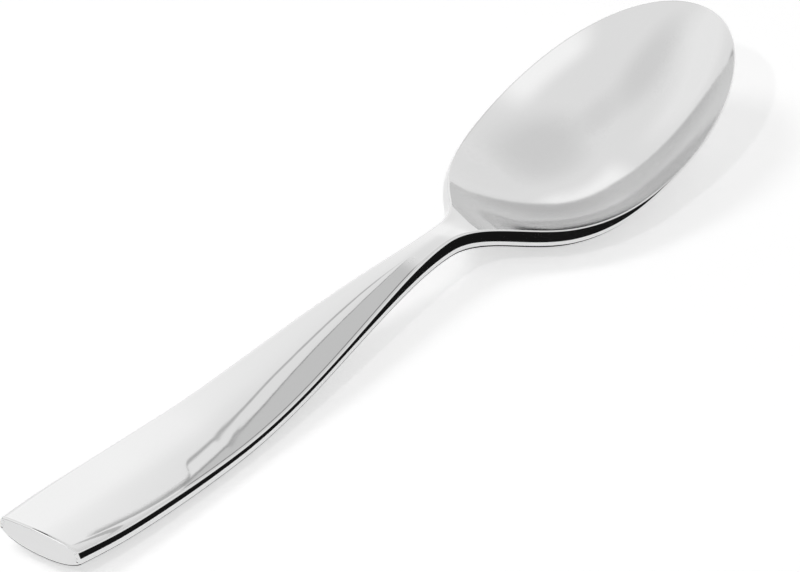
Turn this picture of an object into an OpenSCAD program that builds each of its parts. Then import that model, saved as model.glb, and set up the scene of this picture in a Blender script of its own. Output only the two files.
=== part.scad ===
// Dessert spoon with a hollow handle.
// A pressed bowl carries its neck and a tang; the handle is a top and a bottom skin joined along
// the side band, closed by a flat plate at the cut end and filled around the tang.
// Millimetres. +X runs from the cut end to the tip of the bowl, +Z is up, and the spoon lies on z = 0.

/* [Handle outline] */
// Length from the cut end to the narrowest place of the neck
handle_l = 107.4; // [100:0.1:120]
// Width of the top face at the cut end
end_w = 16.5; // [13:0.1:20]
// Greatest width of the top face
grip_w = 18.5; // [16:0.1:22]
// Distance from the cut end to the greatest width
grip_x = 20.7; // [15:0.1:30]
// How far the width carries on past that place before the taper
grip_reach = 49.8; // [30:0.1:55]
// How far the narrow neck reaches back into the taper
neck_reach = 14.5; // [8:0.1:25]

/* [Bowl outline] */
// Length from the narrowest place of the neck to the tip
bowl_l = 77.6; // [70:0.1:90]
// Width of the neck at its narrowest place
neck_w = 4.9; // [4.6:0.1:7]
// Greatest width of the bowl, across the rim
bowl_w = 40.3; // [34:0.1:46]
// Distance from the neck to the greatest width
widest_x = 44.5; // [40:0.1:50]
// How far the neck carries on before the shoulders open
shoulder_reach = 17.5; // [8:0.1:20]
// How far the greatest width reaches back to the shoulders
back_reach = 29.9; // [20:0.1:34]
// How far the greatest width reaches forward to the tip
front_reach = 18.3; // [12:0.1:24]
// How round the tip is: the reach of its blunt front across the bowl
tip_reach = 11.2; // [7:0.1:14]

/* [Side profile] */
// Height of the top edge at the cut end
end_z = 6.05; // [5:0.05:9]
// Slope of the top edge at the cut end
end_slope = -0.091; // [-0.15:0.001:0]
// Distance from the cut end to the lowest place of the handle
low_x = 41.8; // [30:0.1:60]
// Height of the top edge there
low_z = 4.15; // [3.5:0.05:6]
// Height of the top edge on the crest at the neck
crest_z = 10.7; // [8:0.1:14]
// Distance from the neck to the lowest place of the rim
dip_x = 21.5; // [18:0.1:30]
// Height of the rim there
dip_z = 7.35; // [6:0.05:10]
// Height of the rim at the tip
tip_z = 21.25; // [16:0.05:24]
// Slope of the rim at the tip
tip_slope = 0.294; // [0:0.002:0.4]

/* [Section] */
// Thickness on the centre line at the cut end
end_t = 5.1; // [4.7:0.1:6.5]
// Thickness on the centre line at the neck
neck_t = 4.3; // [4:0.1:5]
// Thickness of the bowl's floor
bowl_t = 1; // [0.8:0.1:2]
// Rise of the crowned top face at the cut end
end_crown = 0.4; // [0.2:0.05:1.2]
// Rise of the crowned top face at the neck
neck_crown = 0.1; // [0.05:0.05:0.6]
// Length past the neck over which the crown fades out
crown_end_l = 13; // [9:0.1:20]
// Depth of the bowl at its greatest width, from the rim to the inside floor
bowl_depth = 9.3; // [7:0.1:11]
// How much the depth grows from the neck to the tip, as a share of the depth above
depth_gain = 1.05; // [0:0.05:1.3]
// Length past the neck over which the hollow sets in
hollow_start_l = 7.5; // [7:0.1:20]
// Height of the bevel under the top edge at the cut end
end_bevel = 1.4; // [1:0.05:1.5]
// Height of the bevel at its smallest, along the handle
small_bevel = 0.85; // [0.5:0.05:1]
// Distance from the cut end to that place
small_bevel_x = 70; // [60:1:80]
// Height of the bevel at its greatest, on the shoulders
shoulder_bevel = 1.95; // [1.2:0.05:2.4]
// Distance from the neck to that place
shoulder_x = 13.9; // [9:0.1:16]
// Height of the bevel on the front rim
rim_bevel = 0.15; // [0.1:0.05:0.4]
// Outward lean of the bevel for each millimetre of its height
bevel_lean = 0.5; // [0.4:0.05:0.6]
// Height of the upright side band at the cut end
end_side = 0.9; // [0.8:0.05:1.2]
// Height of the upright side band at the neck
neck_side = 0.65; // [0.6:0.05:1]
// Height of the upright edge of the rim at the tip
rim_side = 0.7; // [0.6:0.05:1]

/* [Hollow handle] */
// Wall of the top and bottom skins
skin_t = 0.75; // [0.6:0.05:0.75]
// Thickness of the plate that closes the cut end
plate_t = 1.2; // [0.8:0.1:2]
// Distance from the narrowest place of the neck back to the joint with the skins
joint_l = 17.4; // [15:0.1:24]
// Length of the tang inside the handle
tang_l = 38; // [25:1:50]
// Width of the tang
tang_w = 3.2; // [2.6:0.1:3.6]
// Thickness of the tang
tang_h = 1.2; // [1:0.1:1.4]
// Bonding gap around the filler and the tang
bond_gap = 0.15; // [0.1:0.01:0.2]

/* [Hidden] */

length = handle_l + bowl_l;
joint_x = handle_l - joint_l;
tang_tail_x = joint_x - tang_l;
bowl_mid_x = handle_l + widest_x;
// The tip is cut this short of the full length, so that its last ring still has a width
tip_trim = 0.02;
// Radius of the crown's ridge, as a share of half the width
crown_ridge = 0.4;
// Powers with which the bowl's depth follows its width behind and before its greatest width
back_depth_power = 1.65;
front_depth_power = 1.9;
// Powers of the bowl's section at the neck and at the tip
back_power = 2.03;
front_power = 2.24;
// Power and rounding of the handle's underside
belly_power = 2.4;
belly_round = 1.5;
// Points across the handle, and rings along each stretch
across = 12;
filler_across = 8;
handle_rings = 34;
filler_rings = 20;
tang_rings = 8;
back_rings = 30;
front_rings = 16;

// Cubic curve through stations of [place, value, slope], held level beyond both ends
function through(stations, x, i = 0) =
    x <= stations[0][0] ? stations[0][1] :
    i >= len(stations) - 1 ? stations[len(stations) - 1][1] :
    x > stations[i + 1][0] ? through(stations, x, i + 1) :
    let (a = stations[i], b = stations[i + 1], span = b[0] - a[0], t = (x - a[0]) / span)
    (2 * t ^ 3 - 3 * t ^ 2 + 1) * a[1] + (t ^ 3 - 2 * t ^ 2 + t) * span * a[2]
    + (3 * t ^ 2 - 2 * t ^ 3) * b[1] + (t ^ 3 - t ^ 2) * span * b[2];

// Smooth step from 0 to 1
function ease(t) = let (c = max(0, min(1, t))) c * c * (3 - 2 * c);

// One coordinate of a four-point curve
function curve(p, t) =
    (1 - t) ^ 3 * p[0] + 3 * (1 - t) ^ 2 * t * p[1] + 3 * (1 - t) * t ^ 2 * p[2] + t ^ 3 * p[3];

// Height of a four-point curve at x, by halving the range of its parameter
function curve_at(xs, ys, x, low = 0, high = 1, turns = 40) =
    let (t = (low + high) / 2)
    turns == 0 ? curve(ys, t) :
    curve(xs, t) < x ? curve_at(xs, ys, x, t, high, turns - 1) : curve_at(xs, ys, x, low, t, turns - 1);

// Half the width of the top face: cut end, taper, shoulders, then the round front of the bowl
function half_width(x) =
    x <= grip_x ? curve_at([0, 0.4 * grip_x, 0.5 * grip_x, grip_x],
        [end_w, 0.2 * end_w + 0.8 * grip_w, grip_w, grip_w] / 2, x) :
    x <= handle_l ? curve_at([grip_x, grip_x + grip_reach, handle_l - neck_reach, handle_l],
        [grip_w, grip_w, neck_w, neck_w] / 2, x) :
    x <= bowl_mid_x ? curve_at([handle_l, handle_l + shoulder_reach, bowl_mid_x - back_reach, bowl_mid_x],
        [neck_w, neck_w, bowl_w, bowl_w] / 2, x) :
    curve_at([bowl_mid_x, bowl_mid_x + front_reach, length, length],
        [bowl_w / 2, bowl_w / 2, tip_reach, 0], x);

// Heights along the spoon, each a curve through the places that are named above
function edge_z(x) = through([[0, end_z, end_slope], [low_x, low_z, 0], [handle_l, crest_z, 0],
    [handle_l + dip_x, dip_z, 0], [length, tip_z, tip_slope]], x);
function crown(x) = through([[0, end_crown, 0], [handle_l, neck_crown, 0],
    [handle_l + crown_end_l, 0, 0]], x);
function bevel(x) = through([[0, end_bevel, -2 * (end_bevel - small_bevel) / small_bevel_x],
    [small_bevel_x, small_bevel, 0], [handle_l + shoulder_x, shoulder_bevel, 0],
    [bowl_mid_x, rim_bevel, 0]], x);
function side(x) = through([[0, end_side, 0], [handle_l, neck_side, 0], [length, rim_side, 0]], x);
function thickness(x) = through([[0, end_t, 0], [handle_l, neck_t, 0], [bowl_mid_x, bowl_t, 0],
    [length, rim_bevel + rim_side, 0]], x);
function depth_power(x) = x < bowl_mid_x ? back_depth_power : front_depth_power;
function hollow(x) = bowl_depth * (2 * half_width(x) / bowl_w) ^ depth_power(x)
    * (1 + depth_gain * (x - bowl_mid_x) / bowl_l) * ease((x - handle_l) / hollow_start_l);
function seam_drop(x) = bevel(x) + side(x);
function belly(x) = thickness(x) - crown(x) + hollow(x) - seam_drop(x);
function floor_z(x) = edge_z(x) - seam_drop(x) - belly(x);
function mid_z(x) = floor_z(x) + thickness(x) / 2;

// Outward direction of the outline in plan: straight across on the handle, square to the rim on the bowl
function outward(x) =
    x <= handle_l ? [0, 1] :
    let (step = 0.01, slope = (half_width(x + step) - half_width(x - step)) / (2 * step))
    [-slope, 1] / sqrt(1 + slope ^ 2);
function outline_step(x, reach) = reach * (x >= length - 2 * tip_trim ? [1, 0] : outward(x));

// Shapes across the spoon, for u from 1 at the far edge to -1 at the near edge
function bowl_power(x) = back_power + (front_power - back_power) * max(0, x - handle_l) / bowl_l;
function ridge(u) = sqrt(u * u + crown_ridge ^ 2) - crown_ridge;
function top_shape(x, u) =
    crown(x) * (1 - ridge(u) / ridge(1)) - hollow(x) * (1 - abs(u) ^ bowl_power(x));
function belly_shape(x, u) =
    let (blend = ease((x - handle_l) / widest_x),
        power = belly_power + (bowl_power(x) - belly_power) * blend,
        round = belly_round + (1 - belly_round) * blend)
    (1 - abs(u) ^ power) ^ (1 / round);
function spread(n) = [for (i = [0:n]) 1 - 2 * i / n];

// Ring of the whole section: bevel foot, top face, bevel foot, then the underside back again
function body_ring(x) =
    let (w = half_width(x), z = edge_z(x), step = outline_step(x, bevel_lean * bevel(x)),
        foot_x = x + step[0], foot_w = w + step[1], seam_z = z - seam_drop(x))
    concat([[foot_x, foot_w, z - bevel(x)]],
        [for (u = spread(across)) [x, w * u, z + top_shape(x, u)]],
        [[foot_x, -foot_w, z - bevel(x)]],
        [for (u = spread(across + 2)) [foot_x, -foot_w * u, seam_z - belly(x) * belly_shape(x, u)]]);

// Ring of a flat bar on the mid line of the handle, with n intervals across it
function bar_ring(x, w, h, n) = concat(
    [for (u = spread(n)) [x, w / 2 * u, mid_z(x) + h / 2]],
    [for (u = spread(n)) [x, -w / 2 * u, mid_z(x) - h / 2]]);

// Half the width of the hollow inside the skins
function cavity_w(x) = half_width(x) + bevel_lean * bevel(x) - skin_t;

// Ring of the top skin: side band, bevel and crown outside, then the inside back again
function top_skin_ring(x) =
    let (w = half_width(x), z = edge_z(x), foot_w = w + bevel_lean * bevel(x), in_w = cavity_w(x),
        seam_z = z - seam_drop(x))
    concat([[x, foot_w, seam_z], [x, foot_w, z - bevel(x)]],
        [for (u = spread(across)) [x, w * u, z + top_shape(x, u)]],
        [[x, -foot_w, z - bevel(x)], [x, -foot_w, seam_z], [x, -in_w, seam_z]],
        [for (u = spread(across + 2)) [x, -in_w * u, z - skin_t + top_shape(x, u)]],
        [[x, in_w, seam_z]]);

// Ring of the bottom skin: the inside from far to near, then the outside back again
function bottom_skin_ring(x) =
    let (in_w = cavity_w(x), seam_z = edge_z(x) - seam_drop(x))
    concat([for (u = spread(across)) [x, in_w * u, seam_z - (belly(x) - skin_t) * belly_shape(x, u)]],
        [for (u = spread(across)) [x, -(in_w + skin_t) * u, seam_z - belly(x) * belly_shape(x, u)]]);

// Ring of the filler, one bonding gap inside the skins
function filler_ring(x) =
    let (w = cavity_w(x) - bond_gap, z = edge_z(x), inset = skin_t + bond_gap, seam_z = z - seam_drop(x))
    concat([for (u = spread(filler_across)) [x, w * u, z - inset + top_shape(x, u)]],
        [for (u = spread(filler_across)) [x, -w * u, seam_z - (belly(x) - inset) * belly_shape(x, u)]]);

// Evenly spaced places from a to b
function places(a, b, n) = [for (i = [0:n]) a + (b - a) * i / n];

// Solid skinned over rings of 2 n points; a ring's first half faces its second half, so both ends close
module loft(rings) {
    count = len(rings[0]);
    half = count / 2;
    last = (len(rings) - 1) * count;
    sides = [for (r = [0:len(rings) - 2], i = [0:count - 1])
        let (a = r * count + i, b = r * count + (i + 1) % count, c = b + count, d = a + count)
        each [[a, c, b], [a, d, c]]];
    start = [for (i = [0:half - 2]) let (j = count - 1 - i) each [[i, j - 1, j], [i, i + 1, j - 1]]];
    end = [for (i = [0:half - 2]) let (j = count - 1 - i)
        each [[last + i, last + j, last + j - 1], [last + i, last + j - 1, last + i + 1]]];
    polyhedron(points = [for (ring = rings) each ring], faces = concat(sides, start, end), convexity = 6);
}

// The spoon is centred on its length and lies on the lowest of its rings
ground_z = min([for (x = concat(places(plate_t, joint_x, handle_rings),
    places(joint_x, bowl_mid_x, back_rings))) floor_z(x)]);
module in_place() {
    translate([-length / 2, 0, -ground_z]) children();
}

// Bowl, neck and tang, pressed from one blank
module bowl() {
    front = [for (i = [1:front_rings])
        bowl_mid_x + (length - tip_trim - bowl_mid_x) * sin(90 * i / front_rings)];
    color("silver") in_place() loft(concat(
        [for (x = places(tang_tail_x, joint_x, tang_rings)) bar_ring(x, tang_w, tang_h, across + 2)],
        [for (x = places(joint_x, bowl_mid_x, back_rings)) body_ring(x)],
        [for (x = front) body_ring(x)]));
}

// Crowned top skin with the side bands
module handle_top_skin() {
    color("gainsboro") in_place()
        loft([for (x = places(plate_t, joint_x, handle_rings)) top_skin_ring(x)]);
}

// Rounded bottom skin, joined to the top skin along the foot of the side bands
module handle_bottom_skin() {
    color("lightgray") in_place()
        loft([for (x = places(plate_t, joint_x, handle_rings)) bottom_skin_ring(x)]);
}

// Cast filler that holds the tang: outside from end to end, then back along the slot for the tang
module handle_filler() {
    slot_w = tang_w + 2 * bond_gap;
    slot_h = tang_h + 2 * bond_gap;
    color("darkkhaki") in_place() loft(concat(
        [for (x = places(plate_t + bond_gap, joint_x - bond_gap, filler_rings)) filler_ring(x)],
        [for (x = places(joint_x - bond_gap, tang_tail_x - bond_gap, tang_rings))
            bar_ring(x, slot_w, slot_h, filler_across)]));
}

// Flat plate that closes the cut end
module end_plate() {
    color("whitesmoke") in_place() rotate([90, 0, 90]) linear_extrude(plate_t)
        polygon([for (p = body_ring(0)) [p[1], p[2]]]);
}

bowl();
handle_top_skin();
handle_bottom_skin();
handle_filler();
end_plate();
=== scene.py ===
"""Dessert spoon of polished steel on a white table: a pressed bowl with neck and tang, a hollow handle."""
import math
import bpy
import numpy as np
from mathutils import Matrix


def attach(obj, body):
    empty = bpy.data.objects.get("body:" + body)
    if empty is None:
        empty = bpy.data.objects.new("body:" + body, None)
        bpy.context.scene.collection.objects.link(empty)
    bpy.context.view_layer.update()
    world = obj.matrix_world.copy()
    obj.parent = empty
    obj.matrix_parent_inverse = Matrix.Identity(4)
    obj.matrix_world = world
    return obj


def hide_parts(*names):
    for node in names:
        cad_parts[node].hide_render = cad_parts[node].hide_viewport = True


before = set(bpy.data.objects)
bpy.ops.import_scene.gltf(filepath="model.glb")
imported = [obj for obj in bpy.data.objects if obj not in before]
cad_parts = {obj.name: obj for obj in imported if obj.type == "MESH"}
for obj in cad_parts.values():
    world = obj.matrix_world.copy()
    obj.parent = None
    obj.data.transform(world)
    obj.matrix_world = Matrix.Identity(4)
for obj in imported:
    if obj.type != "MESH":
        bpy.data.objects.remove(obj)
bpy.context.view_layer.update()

# Bowl
# The bowl, its slim arched neck and a flat tang are pressed from one blank of stainless steel.
# The rim is ground and the blank is polished; the tang goes into the handle, where the filler holds it.
# Lengths are in millimetres, with x counted from the cut end of the handle.
HANDLE_L = 107.4
BOWL_L = 77.6
WIDEST_X = 44.5
LENGTH = HANDLE_L + BOWL_L
BOWL_MID_X = HANDLE_L + WIDEST_X
JOINT_X = 90.0
END_W = 16.5
GRIP_X = 20.7
GRIP_W = 18.5
NECK_W = 4.9
BOWL_W = 40.3
BOWL_DEPTH = 9.3
DEPTH_GAIN = 1.05
BACK_DEPTH_POWER = 1.65
FRONT_DEPTH_POWER = 1.9
HOLLOW_START_L = 7.5
NECK_SECTION_POWER = 2.03
TIP_SECTION_POWER = 2.24
BELLY_POWER = 2.4
BELLY_ROUND = 1.5
FRONT_FAN = 0.72
BEVEL_LEAN = 0.5
CROWN_RIDGE = 0.4
TANG_L = 38.0
TANG_W = 3.2
TANG_H = 1.2

# Plan curves of four points each, as distance along the spoon and half the width of the top face
END_CURVE = [(0, END_W/2), (0.4*GRIP_X, 9.05), (GRIP_X/2, GRIP_W/2), (GRIP_X, GRIP_W/2)]
TAPER_CURVE = [(GRIP_X, GRIP_W/2), (GRIP_X + 49.8, GRIP_W/2),
               (HANDLE_L - 14.5, NECK_W/2), (HANDLE_L, NECK_W/2)]
SHOULDER_CURVE = [(HANDLE_L, NECK_W/2), (HANDLE_L + 17.5, NECK_W/2),
                  (BOWL_MID_X - 29.9, BOWL_W/2), (BOWL_MID_X, BOWL_W/2)]
FRONT_CURVE = [(BOWL_MID_X, BOWL_W/2), (BOWL_MID_X + 18.3, BOWL_W/2), (LENGTH, 11.2), (LENGTH, 0)]

# Stations along the spoon, each a place, a value and a slope
EDGE_Z = [(0, 6.05, -0.091), (41.8, 4.15, 0), (HANDLE_L, 10.7, 0), (HANDLE_L + 21.5, 7.35, 0),
          (LENGTH, 21.25, 0.294)]
CROWN = [(0, 0.4, 0), (HANDLE_L, 0.1, 0), (HANDLE_L + 13, 0, 0)]
BEVEL = [(0, 1.4, -0.0157), (70, 0.85, 0), (HANDLE_L + 13.9, 1.95, 0), (BOWL_MID_X, 0.15, 0)]
SIDE = [(0, 0.9, 0), (HANDLE_L, 0.65, 0), (LENGTH, 0.7, 0)]
THICKNESS = [(0, 5.1, 0), (HANDLE_L, 4.3, 0), (BOWL_MID_X, 1.0, 0), (LENGTH, 0.85, 0)]
EDGE_ROUND = [(0, 2.0, 0), (25, 0.5, 0), (98, 0.5, 0), (126, 0.3, 0), (BOWL_MID_X, 0.22, 0)]
ROUND_SHARE = 0.45
BEVEL_ROUND = 0.5
FOOT_ROUND = 0.1

# Steps along the half section: top face, rounded edge, bevel, rounded foot, side band
TOP_STEPS, EDGE_STEPS, BEVEL_STEPS, FOOT_STEPS, SIDE_STEPS = 44, 9, 2, 6, 2


def through(stations, x):
    """Cubic curve through stations of place, value and slope, held level beyond both ends."""
    place, value, slope = np.array(stations, float).T
    i = np.clip(np.searchsorted(place, x) - 1, 0, len(place) - 2)
    span = place[i + 1] - place[i]
    t = np.clip((x - place[i]) / span, 0, 1)
    return ((2*t**3 - 3*t**2 + 1)*value[i] + (t**3 - 2*t**2 + t)*span*slope[i]
            + (3*t**2 - 2*t**3)*value[i + 1] + (t**3 - t**2)*span*slope[i + 1])


def ease(t):
    """Smooth step: three t squared less two t cubed, with t held between 0 and 1."""
    t = np.clip(t, 0, 1)
    return t*t*(3 - 2*t)


def plan_outline(curves, count=3000):
    """Points of four-point curves, and their outward directions: the tangents turned by a quarter."""
    t = np.linspace(0, 1, count)[:, None]
    points, outward = [], []
    for a, b, c, d in np.array(curves, float):
        points.append((1 - t)**3*a + 3*(1 - t)**2*t*b + 3*(1 - t)*t**2*c + t**3*d)
        tangent = (1 - t)**2*(b - a) + 2*(1 - t)*t*(c - b) + t**2*(d - c)
        length = np.linalg.norm(tangent, axis=1)[:, None]
        outward.append(np.stack([-tangent[:, 1], tangent[:, 0]], 1)/length)
    return np.concatenate(points), np.concatenate(outward)


plan, plan_outward = plan_outline([END_CURVE, TAPER_CURVE, SHOULDER_CURVE, FRONT_CURVE])
plan_outward[plan[:, 0] <= HANDLE_L] = (0, 1)


def half_width(x):
    """Half the width of the top face at x, read off the plan outline."""
    return np.interp(x, plan[:, 0], plan[:, 1])


def hollow(x):
    """Depth of the bowl: a power of its width, times a growth towards the tip, eased in from the neck."""
    power = np.where(x < BOWL_MID_X, BACK_DEPTH_POWER, FRONT_DEPTH_POWER)
    growth = 1 + DEPTH_GAIN*(x - BOWL_MID_X)/BOWL_L
    return BOWL_DEPTH*(2*half_width(x)/BOWL_W)**power*growth*ease((x - HANDLE_L)/HOLLOW_START_L)


def bowl_power(x):
    """Power of the bowl's section, which runs evenly from its value at the neck to its value at the tip."""
    return np.interp(x, [HANDLE_L, LENGTH], [NECK_SECTION_POWER, TIP_SECTION_POWER])


def ridge(u):
    """Rounded ridge across the handle: the root of u squared and the ridge squared, less the ridge."""
    return np.sqrt(u*u + CROWN_RIDGE**2) - CROWN_RIDGE


def top_height(x, y):
    """Top face: the edge, plus the crown less its ridge, less the hollow times 1 - u to a power."""
    u = np.clip(np.abs(y)/np.maximum(half_width(x), 1e-6), 0, 1)
    crown = through(CROWN, x)*(1 - ridge(u)/ridge(1.0))
    return through(EDGE_Z, x) + crown - hollow(x)*(1 - u**bowl_power(x))


def belly_height(x, y, wall=0.0):
    """Underside: down from the seam by the belly's depth times a root of 1 - u to a power."""
    u = np.clip(np.abs(y)/np.maximum(half_width(x), 1e-6), 0, 1)
    drop = through(BEVEL, x) + through(SIDE, x)
    depth = through(THICKNESS, x) - through(CROWN, x) + hollow(x) - drop - wall
    blend = ease((x - HANDLE_L)/WIDEST_X)
    power = BELLY_POWER + (bowl_power(x) - BELLY_POWER)*blend
    rounding = BELLY_ROUND + (1 - BELLY_ROUND)*blend
    return through(EDGE_Z, x) - drop - depth*(1 - u**power)**(1/rounding)


def stack(x, y, z):
    """Points from three arrays that share one shape after broadcasting."""
    return np.stack(np.broadcast_arrays(x, y, z), -1)


def bend(start, corner, end, steps):
    """Rounded corner: its points weighted by (1 - t) squared, 2 t (1 - t) and t squared, start left out."""
    t = np.linspace(0, 1, steps + 1)[1:, None]
    return (1 - t)**2*start[:, None] + 2*t*(1 - t)*corner[:, None] + t**2*end[:, None]


def straight(start, end, steps):
    """Straight line from start to end in even steps, start left out."""
    t = np.linspace(0, 1, steps + 1)[1:, None]
    return start[:, None] + t*(end - start)[:, None]


def upper_half(x, w, outward, spine_x):
    """Half section from the middle of the top face over the edge, bevel and side band to the seam."""
    edge, bevel, side = through(EDGE_Z, x), through(BEVEL, x), through(SIDE, x)
    radius = np.minimum(through(EDGE_ROUND, x), ROUND_SHARE*np.maximum(w, x - spine_x))
    rim = stack(x, w, 0*x)[:, :2]
    start = rim - outward*radius[:, None]
    r = np.linspace(0, 1, TOP_STEPS + 1)
    top_x = spine_x[:, None] + r*(start[:, 0] - spine_x)[:, None]
    top_y = r*start[:, 1, None]
    top = stack(top_x, top_y, top_height(top_x, top_y))
    step = 0.02
    inner = start - step*outward
    rise = (top[:, -1, 2] - top_height(inner[:, 0], inner[:, 1]))/step
    corner = stack(rim[:, 0], rim[:, 1], top[:, -1, 2] + rise*radius)
    foot_plan = rim + outward*(BEVEL_LEAN*bevel)[:, None]
    foot = stack(foot_plan[:, 0], foot_plan[:, 1], edge - bevel)
    fall = foot - corner
    length = np.linalg.norm(fall, axis=1)
    fall /= length[:, None]
    bevel_start = corner + fall*np.minimum(np.minimum(radius, BEVEL_ROUND), length/2)[:, None]
    bevel_end = foot - fall*np.minimum(FOOT_ROUND, length/2)[:, None]
    down = np.array([0.0, 0.0, -1.0])
    side_start = foot + down*np.minimum(FOOT_ROUND, side/2)[:, None]
    seam = foot + down*side[:, None]
    return np.concatenate([top, bend(top[:, -1], corner, bevel_start, EDGE_STEPS),
                           straight(bevel_start, bevel_end, BEVEL_STEPS),
                           bend(bevel_end, foot, side_start, FOOT_STEPS),
                           straight(side_start, seam, SIDE_STEPS)], 1)


def lower_half(x, w, outward, spine_x, steps, wall=0.0):
    """Half of the underside from the middle to the seam, in steps that close up towards the seam."""
    u = np.sin(np.linspace(0, math.pi/2, steps + 1))
    reach = u*w[:, None]
    along = spine_x[:, None] + u*(x - spine_x)[:, None]
    lean = u**2*(BEVEL_LEAN*through(BEVEL, x) - wall)[:, None]
    return stack(along + lean*outward[:, :1], reach + lean*outward[:, 1:], belly_height(along, reach, wall))


def both_sides(half):
    """Line from the far to the near side: the half and its mirror image, the middle point kept once."""
    return np.concatenate([half[:, :0:-1], half*np.array([1.0, -1.0, 1.0])], 1)


# Lowest place of the underside, which lies on the table
GROUND_Z = belly_height(np.linspace(0, LENGTH - 0.02, 301), 0.0).min()


def loft(name, rings):
    """Closed skin over rings of points; an end that has a width is closed by strips across its ring."""
    count, size = rings.shape[:2]
    a = np.arange(count*size).reshape(count, size)
    b, c, d = np.roll(a[:-1], -1, 1), np.roll(a[1:], -1, 1), a[1:]
    walls = np.stack([a[:-1], c, b, a[:-1], d, c], -1).reshape(-1, 3)
    i = np.arange(size//2 - 1)
    j = size - 1 - i
    first = np.stack([i, j - 1, j, i, i + 1, j - 1], -1).reshape(-1, 3)
    last = np.stack([i, j, j - 1, i, j - 1, i + 1], -1).reshape(-1, 3) + (count - 1)*size
    points = rings.reshape(-1, 3) + np.array([-LENGTH/2, 0, -GROUND_Z])
    points, same = np.unique(np.round(points, 5), axis=0, return_inverse=True)
    ends = [strips for ring, strips in ((rings[0], first), (rings[-1], last)) if np.ptp(ring[:, 1]) > 1e-6]
    faces = same.reshape(-1)[np.concatenate([walls, *ends])]
    whole = (faces[:, 0] != faces[:, 1]) & (faces[:, 1] != faces[:, 2]) & (faces[:, 2] != faces[:, 0])
    mesh = bpy.data.meshes.new(name)
    mesh.from_pydata((points*0.001).tolist(), [], faces[whole].tolist())
    mesh.validate()
    mesh.shade_smooth()
    mesh.set_sharp_from_angle(angle=math.radians(35))
    piece = bpy.data.objects.new(name, mesh)
    bpy.context.collection.objects.link(piece)
    return piece


class Wire:
    """A shader socket: sums are written as plain arithmetic, and node makes any other node fed by it."""

    def __init__(self, tree, socket):
        self.tree = tree
        self.socket = socket

    def node(self, kind, inputs, output=0, **settings):
        made = self.tree.nodes.new(kind)
        for key, value in settings.items():
            setattr(made, key, value)
        for key, value in inputs.items():
            if isinstance(value, Wire):
                self.tree.links.new(value.socket, made.inputs[key])
            else:
                made.inputs[key].default_value = value
        return Wire(self.tree, made.outputs[output])

    def grey(self):
        return self.node("ShaderNodeCombineColor", {"Red": self, "Green": self, "Blue": self})

    def sum(self, operation, first, second):
        return self.node("ShaderNodeMath", {0: first, 1: second}, operation=operation)

    def __add__(self, other):
        return self.sum("ADD", self, other)

    def __radd__(self, other):
        return self.sum("ADD", other, self)

    def __mul__(self, other):
        return self.sum("MULTIPLY", self, other)

    def __rmul__(self, other):
        return self.sum("MULTIPLY", other, self)


def new_material(name):
    """Empty node material: its principled shader, and a wire of the object's own coordinates."""
    material = bpy.data.materials.new(name)
    material.use_nodes = True
    tree = material.node_tree
    place = Wire(tree, tree.nodes.new("ShaderNodeTexCoord").outputs["Object"])
    return material, tree.nodes["Principled BSDF"], place


def feed(shader, name, wire):
    """Link a wire to a named socket of the shader."""
    wire.tree.links.new(wire.socket, shader.inputs[name])


# Mirror-polished steel: fine buffing lines along the spoon, a softer polish in the bowl, slight waves
polished_steel, shader, place = new_material("polished_steel")
shader.inputs["Metallic"].default_value = 1.0
buffed = place.node("ShaderNodeMapping", {"Vector": place, "Scale": (60.0, 2600.0, 2600.0)})
lines = buffed.node("ShaderNodeTexNoise", {"Vector": buffed, "Scale": 1.0, "Detail": 3.0, "Roughness": 0.6})
cloudy = place.node("ShaderNodeTexNoise", {"Vector": place, "Scale": 55.0, "Detail": 2.0, "Roughness": 0.5})
along = place.node("ShaderNodeSeparateXYZ", {"Vector": place}, output="X")
inside = along.node("ShaderNodeMapRange", {"Value": along, "From Min": 0.020, "From Max": 0.036},
                    interpolation_type="SMOOTHSTEP")
feed(shader, "Roughness", 0.02 + 0.025*lines + 0.015*cloudy + 0.06*inside)
tone = 0.695 + 0.02*cloudy + 0.01*lines
feed(shader, "Base Color", tone.grey())
wavy = place.node("ShaderNodeTexNoise", {"Vector": place, "Scale": 90.0, "Detail": 1.0})
relief = wavy + 0.05*lines
waves = relief.node("ShaderNodeBump", {"Height": relief, "Strength": 0.05, "Distance": 0.0002})
feed(shader, "Normal", waves)

# Rings of the bowl: the flat tang, then the body from the joint over the neck to the tip of the bowl
arc = np.concatenate([[0.0], np.cumsum(np.linalg.norm(np.diff(plan, axis=0), axis=1))])
arc_places = np.linspace(np.interp(JOINT_X, plan[:, 0], arc), arc[-1], 250)
rim_x = np.interp(arc_places, arc, plan[:, 0])
rim_w = np.interp(arc_places, arc, plan[:, 1])
rim_outward = np.stack([np.interp(arc_places, arc, side) for side in plan_outward.T], 1)
rim_outward[-1] = (1, 0)
rim_w[-1] = 0
spine_x = np.where(rim_x > BOWL_MID_X, BOWL_MID_X + FRONT_FAN*(rim_x - BOWL_MID_X), rim_x)
rim_upper = both_sides(upper_half(rim_x, rim_w, rim_outward, spine_x))[:, 1:-1]
half_steps = rim_upper.shape[1]//2
rim_lower = both_sides(lower_half(rim_x, rim_w, rim_outward, spine_x, half_steps))[:, ::-1]
bowl_body = np.concatenate([rim_upper, rim_lower], 1)
tang_x = np.linspace(JOINT_X - TANG_L, JOINT_X, 24)
tang_mid_z = belly_height(tang_x, 0.0) + through(THICKNESS, tang_x)/2
tang_y = np.linspace(1, -1, 2*half_steps + 1)*TANG_W/2
tang = np.concatenate([stack(tang_x[:, None], tang_y, tang_mid_z[:, None] + TANG_H/2),
                       stack(tang_x[:, None], -tang_y, tang_mid_z[:, None] - TANG_H/2)], 1)
bowl = loft("bowl_with_neck", np.concatenate([tang, bowl_body]))
bowl.data.materials.append(polished_steel)
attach(bowl, "root")
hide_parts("bowl")

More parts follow.
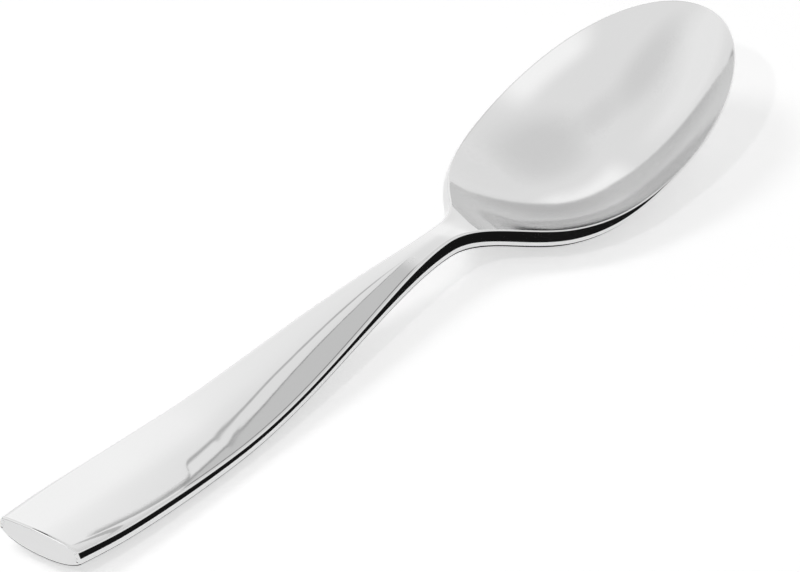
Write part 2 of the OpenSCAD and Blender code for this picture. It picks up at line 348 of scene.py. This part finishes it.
# Top skin of the handle
# The crowned upper half of the hollow handle with its bevel and side bands, pressed from steel sheet.
# It is soldered to the bottom skin along the foot of the side bands, and the joint is polished away.
PLATE_T = 1.2
SKIN_T = 0.75
handle_x = np.linspace(PLATE_T, JOINT_X, 180)
handle_w = half_width(handle_x)
straight_out = np.tile([0.0, 1.0], (len(handle_x), 1))
outer_half = upper_half(handle_x, handle_w, straight_out, handle_x)
in_w = handle_w + BEVEL_LEAN*through(BEVEL, handle_x) - SKIN_T
u = np.linspace(0, 1, TOP_STEPS + 1)
roof_z = top_height(handle_x[:, None], u*handle_w[:, None]) - SKIN_T
roof = stack(handle_x[:, None], u*in_w[:, None], roof_z)
wall_foot = stack(handle_x, in_w, outer_half[:, -1, 2])
wall_steps = outer_half.shape[1] - TOP_STEPS - 1
inner_half = np.concatenate([roof, straight(roof[:, -1], wall_foot, wall_steps)], 1)
top_rings = np.concatenate([both_sides(outer_half), both_sides(inner_half)[:, ::-1]], 1)
handle_top = loft("handle_top_half", top_rings)
handle_top.data.materials.append(polished_steel)
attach(handle_top, "root")
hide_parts("handle_top_skin")

# Bottom skin of the handle
# The rounded lower half of the hollow handle, pressed from the same sheet as the top skin.
# Its edges meet the foot of the side bands, and its ends meet the neck and the end plate.
SKIN_STEPS = 40
inside_half = lower_half(handle_x, handle_w, straight_out, handle_x, SKIN_STEPS, SKIN_T)
outside_half = lower_half(handle_x, handle_w, straight_out, handle_x, SKIN_STEPS)
bottom_rings = np.concatenate([both_sides(inside_half), both_sides(outside_half)[:, ::-1]], 1)
handle_bottom = loft("handle_bottom_half", bottom_rings)
handle_bottom.data.materials.append(polished_steel)
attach(handle_bottom, "root")
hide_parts("handle_bottom_skin")

# End plate
# A flat lens-shaped plate of steel that closes the cut end of the handle, soldered in and ground flush.
# The edge of its face is just broken by the polishing wheel.
END_ROUND = 0.5
turn = np.linspace(0, math.pi/2, 9)
plate_x = np.concatenate([[0, 0], END_ROUND*(1 - np.cos(turn)), np.linspace(END_ROUND, PLATE_T, 5)[1:]])
inset = np.concatenate([[0, 0], END_ROUND*(1 - np.sin(turn)), np.zeros(4)])
plate_w = half_width(plate_x)
plate_out = np.tile([0.0, 1.0], (len(plate_x), 1))
plate_upper = both_sides(upper_half(plate_x, plate_w, plate_out, plate_x))[:, 1:-1]
plate_lower = both_sides(lower_half(plate_x, plate_w, plate_out, plate_x, plate_upper.shape[1]//2))[:, ::-1]
plate_rings = np.concatenate([plate_upper, plate_lower], 1)
tangent = np.roll(plate_rings, -1, 1) - np.roll(plate_rings, 1, 1)
inward = np.stack([0*tangent[..., 0], -tangent[..., 2], tangent[..., 1]], -1)
inward /= np.linalg.norm(inward, axis=-1, keepdims=True)
plate_rings += inset[:, None, None]*inward
centre = np.array([0, 0, plate_rings[2, :, 2].mean()])
for ring, share in enumerate((0.95, 0.99)):
    plate_rings[ring] = centre + share*(plate_rings[2] - centre)
end_plate = loft("handle_end_plate", plate_rings)
end_plate.data.materials.append(polished_steel)
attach(end_plate, "root")
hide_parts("end_plate")

# Filler of the handle
# Resin cast into the closed handle around the tang; it holds the tang and gives the handle its weight.
# It keeps its construction shape and gets a resin with small bubbles and clouds of mineral powder.
cast_resin, shader, place = new_material("cast_filler")
powder = place.node("ShaderNodeTexNoise",
                    {"Vector": place, "Scale": 320.0, "Detail": 5.0, "Roughness": 0.65})
bubbles = place.node("ShaderNodeTexVoronoi", {"Vector": place, "Scale": 900.0})
mix = powder.node("ShaderNodeMix",
                  {"Factor": powder, "A": (0.55, 0.48, 0.34, 1), "B": (0.68, 0.62, 0.49, 1)},
                  output="Result", data_type="RGBA")
feed(shader, "Base Color", mix)
feed(shader, "Roughness", 0.5 + 0.25*powder)
pits = bubbles.node("ShaderNodeBump", {"Height": bubbles, "Strength": 0.3, "Distance": 0.0002})
feed(shader, "Normal", pits)
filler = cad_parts["handle_filler"]
filler.data.materials.clear()
filler.data.materials.append(cast_resin)

# Table
# A plain white table top, larger than the view. It shows white to the lens and in the steel,
# and takes the soft shadow of the spoon.
TABLE_GLOW = 0.59


def white_rays(tree):
    """Sum of the flags of rays that find the table and room white: from the lens, steel and glass."""
    path = tree.nodes.new("ShaderNodeLightPath")
    return sum(Wire(tree, path.outputs["Is %s Ray" % ray]) for ray in ("Camera", "Glossy", "Transmission"))


floor_mesh = bpy.data.meshes.new("table_top")
floor_mesh.from_pydata([(-4, -4, -2e-5), (4, -4, -2e-5), (4, 4, -2e-5), (-4, 4, -2e-5)], [], [(0, 1, 2, 3)])
table = bpy.data.objects.new("table_top", floor_mesh)
bpy.context.collection.objects.link(table)
white_top, shader, place = new_material("white_table")
shader.inputs["Roughness"].default_value = 0.9
shader.inputs["Specular IOR Level"].default_value = 0.0
shader.inputs["Base Color"].default_value = (0.8, 0.8, 0.8, 1)
shader.inputs["Emission Strength"].default_value = 1.0
feed(shader, "Emission Color", (TABLE_GLOW*white_rays(white_top.node_tree)).grey())
floor_mesh.materials.append(white_top)

# Camera
# A long lens in front of the cut end, to the near side, looking down at the spoon by about 33 degrees.
# Its place is worked out in millimetres, like the spoon.
LOOK_DOWN, LOOK_TURN = math.radians(33.067), math.radians(51.669)
LENS_RIGHT, LENS_UP, LENS_BACK = 60.09, 41.25, 1331.75
right = np.array([math.cos(LOOK_TURN), -math.sin(LOOK_TURN), 0])
ahead = np.array([math.sin(LOOK_TURN), math.cos(LOOK_TURN), 0])
look = math.cos(LOOK_DOWN)*ahead - math.sin(LOOK_DOWN)*np.array([0, 0, 1])
up = math.sin(LOOK_DOWN)*ahead + math.cos(LOOK_DOWN)*np.array([0, 0, 1])
cut_end = np.array([-LENGTH/2, 0, EDGE_Z[0][1] - GROUND_Z])
stand = cut_end + LENS_RIGHT*right + LENS_UP*up - LENS_BACK*look
camera_data = bpy.data.cameras.new("camera")
camera_data.sensor_width = 36.0
camera_data.lens = 360.0
camera = bpy.data.objects.new("camera", camera_data)
bpy.context.collection.objects.link(camera)
pose = np.eye(4)
pose[:3, :3] = np.stack([right, up, -look], 1)
pose[:3, 3] = stand*0.001
camera.matrix_world = pose.T.tolist()
bpy.context.scene.camera = camera
bpy.context.scene.view_settings.view_transform = "Standard"

# Studio cards
# Cards that only the polished steel shows: far boards, round cards, a black flag, ribbons close over the
# handle and a dark sheet under the spoon, which is painted shade standing for the shadowed table under it.
# A direction is two angles in degrees, round from the tip and up from the table. Far distances are in
# metres.


def direction(turn, rise):
    """Unit vector from the angle round from +X towards +Y and the angle up from the table."""
    turn, rise = np.radians(turn), np.radians(rise)
    return np.stack([np.cos(rise)*np.cos(turn), np.cos(rise)*np.sin(turn), np.sin(rise)], -1)


def card(name, points, cover, level):
    """Bent card over a square grid of points, seen by the steel alone; cover runs from 0, clear, to 1."""
    size = len(points)
    index = np.arange(size*size).reshape(size, size)
    faces = np.stack([index[:-1, :-1], index[:-1, 1:], index[1:, 1:], index[1:, :-1]], -1).reshape(-1, 4)
    mesh = bpy.data.meshes.new(name)
    mesh.from_pydata(points.reshape(-1, 3).tolist(), [], faces.tolist())
    mesh.attributes.new("cover", "FLOAT", "POINT").data.foreach_set("value", cover.reshape(-1))
    material = bpy.data.materials.new(name)
    material.use_nodes = True
    tree = material.node_tree
    tree.nodes.remove(tree.nodes["Principled BSDF"])
    fade = Wire(tree, tree.nodes.new("ShaderNodeAttribute").outputs["Fac"])
    fade.socket.node.attribute_name = "cover"
    light = fade.node("ShaderNodeEmission", {"Color": (level, level, level, 1), "Strength": 1.0})
    clear = fade.node("ShaderNodeBsdfTransparent", {})
    mixed = fade.node("ShaderNodeMixShader", {0: fade, 1: clear, 2: light})
    tree.links.new(mixed.socket, tree.nodes["Material Output"].inputs["Surface"])
    mesh.materials.append(material)
    made = bpy.data.objects.new(name, mesh)
    bpy.context.collection.objects.link(made)
    made.visible_camera = False
    made.visible_diffuse = False
    made.visible_transmission = False
    made.visible_shadow = False


def between(lower, upper, steps):
    """Grid of values from a lower to an upper row, each row first spread evenly over the steps."""
    t = np.linspace(0, 1, steps + 1)
    rows = []
    for row in (lower, upper):
        place = np.linspace(0, 1, len(row))
        rows.append(np.stack([np.interp(t, place, side) for side in np.array(row, float).T], -1))
    across, up = np.meshgrid(t, t)
    return (1 - up[..., None])*rows[0] + up[..., None]*rows[1], across, up


def board(name, lower, upper, level, far, soft):
    """Far board between two rows of directions; its cover fades in from its bottom, right, top and left."""
    angles, across, up = between(lower, upper, 32)
    cover = np.ones(across.shape)
    for width, inward in zip(soft, (up, 1 - across, 1 - up, across)):
        cover = cover*(ease(inward/width) if width else 1)
    card(name, direction(angles[..., 0], angles[..., 1])*far, cover, level)


def round_card(name, turn, rise, radius, level, far):
    """Far round card about a direction; its cover eases off from the middle to the radius in degrees."""
    x, y = np.meshgrid(np.linspace(-1, 1, 33), np.linspace(-1, 1, 33))
    middle = direction(turn, rise)
    aside = np.array([-math.sin(math.radians(turn)), math.cos(math.radians(turn)), 0])
    spread = math.tan(math.radians(radius))*(x[..., None]*aside + y[..., None]*np.cross(middle, aside))
    card(name, (middle + spread)*far, ease(1.25*(1 - np.hypot(x, y))), level)


def ribbon(name, lower, upper, level, soft=0.0):
    """Ribbon close over the handle: its rows give places on the top face and directions from there."""
    rows, across, up = between(lower, upper, 69)
    x, y = rows[..., 0], rows[..., 1]
    places = stack(x - LENGTH/2, y, top_height(x, y) - GROUND_Z)
    reach = RIBBON_REACH - RIBBON_FALL*x
    points = (places + reach[..., None]*direction(rows[..., 2], rows[..., 3]))*0.001
    cover = ease(across/0.03)*ease((1 - across)/0.06)
    card(name, points, cover*ease(up/soft)*ease((1 - up)/soft) if soft else cover, level)


def drawn(curves):
    """Row that mirrors as curves drawn on the top face: the sight less twice its part along the normal."""
    x, y = plan_outline(curves, 24)[0].T
    step = 0.05
    slope_x = (top_height(x + step, y) - top_height(x - step, y))/(2*step)
    slope_y = (top_height(x, y + step) - top_height(x, y - step))/(2*step)
    normal = stack(-slope_x, -slope_y, 1.0)
    normal /= np.linalg.norm(normal, axis=1, keepdims=True)
    sight = stack(x - LENGTH/2, y, top_height(x, y) - GROUND_Z) - stand
    sight /= np.linalg.norm(sight, axis=1, keepdims=True)
    away = sight - 2*(sight*normal).sum(1, keepdims=True)*normal
    turn, rise = np.arctan2(away[:, 1], away[:, 0]), np.arcsin(away[:, 2])
    return np.stack([x, y, np.degrees(turn), np.degrees(rise)], 1)


def shifted(row, turn, rise):
    """Row of a ribbon with its directions moved round and up by the same angles."""
    return row + np.array([0, 0, turn, rise])


board("back_board", [(26, 2), (64, 2)], [(26, 38), (38, 40), (45, 46), (52, 54), (64, 56)], 1.22, 8.0,
      (0.35, 0.25, 0.4, 0.2))
board("rear_board", [(64, 8), (155, 8)], [(64, 58), (155, 58)], 1.1, 8.5, (0.3, 0.3, 0.4, 0.3))
board("horizon_gap", [(80, -0.5), (150, -0.5)], [(80, 6), (150, 6)], 0.15, 7.0, (0.0, 0.1, 0.2, 0.1))

# Ribbons over the handle, nearer towards the neck; two lines are plan curves of four points each
RIBBON_REACH = 68.0
RIBBON_FALL = 0.43
THIN_CURVES = [[(4.0, -6.6), (11.7, -7.9), (16.5, -8.4), (26.5, -8.1)],
               [(26.5, -8.1), (33.6, -7.9), (30.4, -4.7), (34.2, -4.3)],
               [(34.2, -4.3), (42.6, -3.5), (55.1, -0.9), (62.5, -0.4)],
               [(62.5, -0.4), (73.5, 0.4), (82.7, 0.9), (98.8, 0.1)]]
GREY_CURVES = [[(26.0, -8.6), (38.7, -7.3), (51.3, -4.5), (64.1, -2.8)],
               [(64.1, -2.8), (75.8, -1.2), (88.0, -1.2), (99.8, -0.1)]]
thin_line = drawn(THIN_CURVES)
grey_line = drawn(GREY_CURVES)
near_line = shifted(grey_line, -2.0, 2.2)
near_line[:, 1] = -half_width(near_line[:, 0])
ribbon("thin_gap", shifted(thin_line, 0.55, -0.75), shifted(thin_line, -0.55, 0.75), 0.5, 0.5)
ribbon("grey_strip", grey_line, near_line, 0.73)
ribbon("grey_edge", shifted(grey_line, 0.3, -0.4), shifted(grey_line, -0.1, 0.15), 0.42)
ribbon("dark_strip", near_line, shifted(near_line, -16, 9), 0.3)
ribbon("corner_strip", [(0.5, -7, 33, 32.5), (9, -7.8, 32.5, 34.5)],
       [(0.5, -8.4, 3, 43), (9, -9, 28, 37)], 0.62)
ribbon("end_line", [(0.2, -1, 53, 50), (0.2, -10, 51, 53)],
       [(0.2, -1, 117, 53), (0.2, -10, 123, 56)], 0.02)
ribbon("end_glint", [(0.2, 3, 129, 46), (0.2, -9, 134, 50)],
       [(0.2, 3, 146, 18), (0.2, -9, 149, 18)], 1.4)

# Dark sheet under the spoon: painted shade, which the steel mirrors in place of the table's contact shadow
# under the spoon. Then the round cards over the bowl and the boards of the near side
SHEET_MARGIN = 1.0
SHEET_Z = -0.01
sheet_x, sheet_y = np.meshgrid(np.linspace(-0.5, LENGTH, 65), np.linspace(-1, 1, 65))
sheet = stack(sheet_x - LENGTH/2, sheet_y*(half_width(sheet_x) + SHEET_MARGIN), SHEET_Z)*0.001
card("painted_shade_sheet", sheet, np.ones(sheet_x.shape), 0.02)
round_card("high_card", -22, 61, 25, 0.83, 5.0)
round_card("top_card", 0, 88, 18, 0.9, 5.2)
round_card("front_card", 8, 58, 24, 0.87, 5.4)
round_card("low_card", 2, 33, 19, 0.98, 5.6)
round_card("rear_card", 155, 66, 25, 0.86, 5.8)
board("side_fill", [(-120, 36), (-50, 36)], [(-120, 54), (-50, 54)], 1.25, 6.5, (0.2, 0.3, 0.5, 0.3))
board("black_flag", [(-135, -4), (-108, -4), (-80, -4), (-60, -4), (-45, -4), (-26, -4)],
      [(-135, 34), (-108, 34), (-80, 30), (-60, 25), (-45, 20), (-26, 14)],
      0.01, 4.0, (0.0, 0.1, 0.05, 0.1))

# Light
# A wide soft lamp from the left, high up, a small lamp behind the cut end, and an even white room.
# Distances are in metres.
LAMP_FAR = 2.4
ROOM_LEVEL = 0.3


def lamp(name, turn, rise, size, energy):
    """Round lamp in a direction, turned towards the spoon."""
    data = bpy.data.lights.new(name, "AREA")
    data.shape = "DISK"
    data.size = size
    data.energy = energy
    made = bpy.data.objects.new(name, data)
    made.location = direction(turn, rise)*LAMP_FAR
    made.rotation_euler = (0, math.radians(90 - rise), math.radians(turn))
    made.visible_glossy = False
    bpy.context.collection.objects.link(made)


lamp("wide_lamp", 130, 58, 1.0, 10.5)
lamp("small_lamp", 195, 45, 0.08, 6.0)
room = bpy.data.worlds.new("white_room")
bpy.context.scene.world = room
room.use_nodes = True
tree = room.node_tree
tree.nodes["Background"].inputs["Color"].default_value = (1, 1, 1, 1)
strength = ROOM_LEVEL + (1 - ROOM_LEVEL)*white_rays(tree)
tree.links.new(strength.socket, tree.nodes["Background"].inputs["Strength"])
